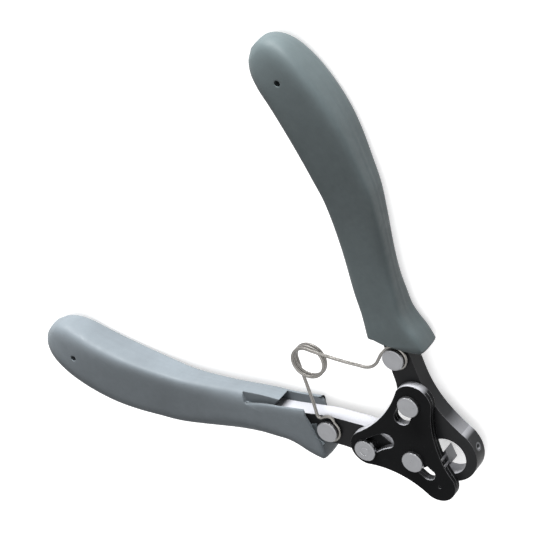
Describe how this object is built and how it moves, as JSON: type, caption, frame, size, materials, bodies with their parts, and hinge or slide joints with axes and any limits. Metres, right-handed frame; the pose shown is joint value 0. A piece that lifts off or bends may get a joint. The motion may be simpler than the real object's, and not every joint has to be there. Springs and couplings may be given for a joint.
{
  "type": "wire looping pliers",
  "caption": "Spring-opened hand pliers with grey sleeved handles, slotted black yoke plates on sliding pins and an eyed jaw that trims wire and bends a loop.",
  "frame": {"origin": "centre of the open tool's bounding box, which is also half way through the thickness of the two arms and on the mirror line of the handles; the main pivot pin's axis is at x 46.6 mm, y -3.66 mm", "axes": "+X to the nose, +Y to the handle that carries the eyed jaw, +Z out of the front face; the tool lies on its back"},
  "size_m": [0.1238, 0.1538, 0.013],
  "materials": {
    "black_steel": "satin black oxide",
    "black_plate": "satin black oxide, bright worn edges",
    "dark_steel": "dark hardened steel",
    "tool_steel": "ground tool steel",
    "bright_steel": "turned bright steel",
    "clip_steel": "phosphated spring steel",
    "washer_steel": "ground steel",
    "spring_wire": "drawn stainless wire",
    "grip_grey": "matte dipped vinyl"
  },
  "bodies": {
    "yoke": {"yoke_front_plate": "black_plate", "yoke_liner_plate": "black_plate", "forming_block": "tool_steel", "block_dowels": "bright_steel", "plate_dowels": "bright_steel"},
    "pivot": {"pivot_pin": "bright_steel", "pivot_clip": "clip_steel", "pivot_washer": "washer_steel"},
    "upper_handle": {"arm_upper": "black_steel", "grip_upper": "grip_grey", "wire_guide_bush": "dark_steel", "upper_guide_pin": "bright_steel", "upper_guide_clip": "clip_steel", "upper_guide_washer": "washer_steel", "upper_spring_post": "bright_steel"},
    "lower_handle": {"arm_lower": "black_steel", "grip_lower": "grip_grey", "lower_guide_pin": "bright_steel", "lower_guide_clip": "clip_steel", "lower_guide_washer": "washer_steel", "lower_spring_post": "bright_steel"},
    "spring_upper": {"spring_upper_half": "spring_wire"},
    "spring_lower": {"spring_lower_half": "spring_wire"}
  },
  "joints": [
    {"name": "pivot_slide", "type": "slide", "parent": "yoke", "child": "pivot", "axis": [1, 0, 0], "range_m": [0, 0.0043]},
    {"name": "upper_handle_swing", "type": "hinge", "parent": "pivot", "child": "upper_handle", "pos_m": [0.04659, -0.00365, 0], "axis": [0, 0, 1], "range_deg": [0, 16.5]},
    {"name": "lower_handle_swing", "type": "hinge", "parent": "pivot", "child": "lower_handle", "pos_m": [0.04659, -0.00365, 0], "axis": [0, 0, 1], "range_deg": [-24, 0]},
    {"name": "spring_upper_leg", "type": "hinge", "parent": "upper_handle", "child": "spring_upper", "pos_m": [0.02286, 0.01952, 0.0032], "axis": [0, 0, 1], "range_deg": [-33.25, 0]},
    {"name": "spring_lower_leg", "type": "hinge", "parent": "lower_handle", "child": "spring_lower", "pos_m": [0.02286, -0.01952, 0.0032], "axis": [0, 0, 1], "range_deg": [0, 59.08]}
  ],
  "couplings": [
    {"joint": "pivot_slide", "follows": "upper_handle_swing", "m_per_rad": 0.01458},
    {"joint": "lower_handle_swing", "follows": "upper_handle_swing", "ratio": -1.45},
    {"joint": "spring_upper_leg", "follows": "upper_handle_swing", "ratio": -1.9832},
    {"joint": "spring_lower_leg", "follows": "upper_handle_swing", "ratio": 3.5332}
  ]
}
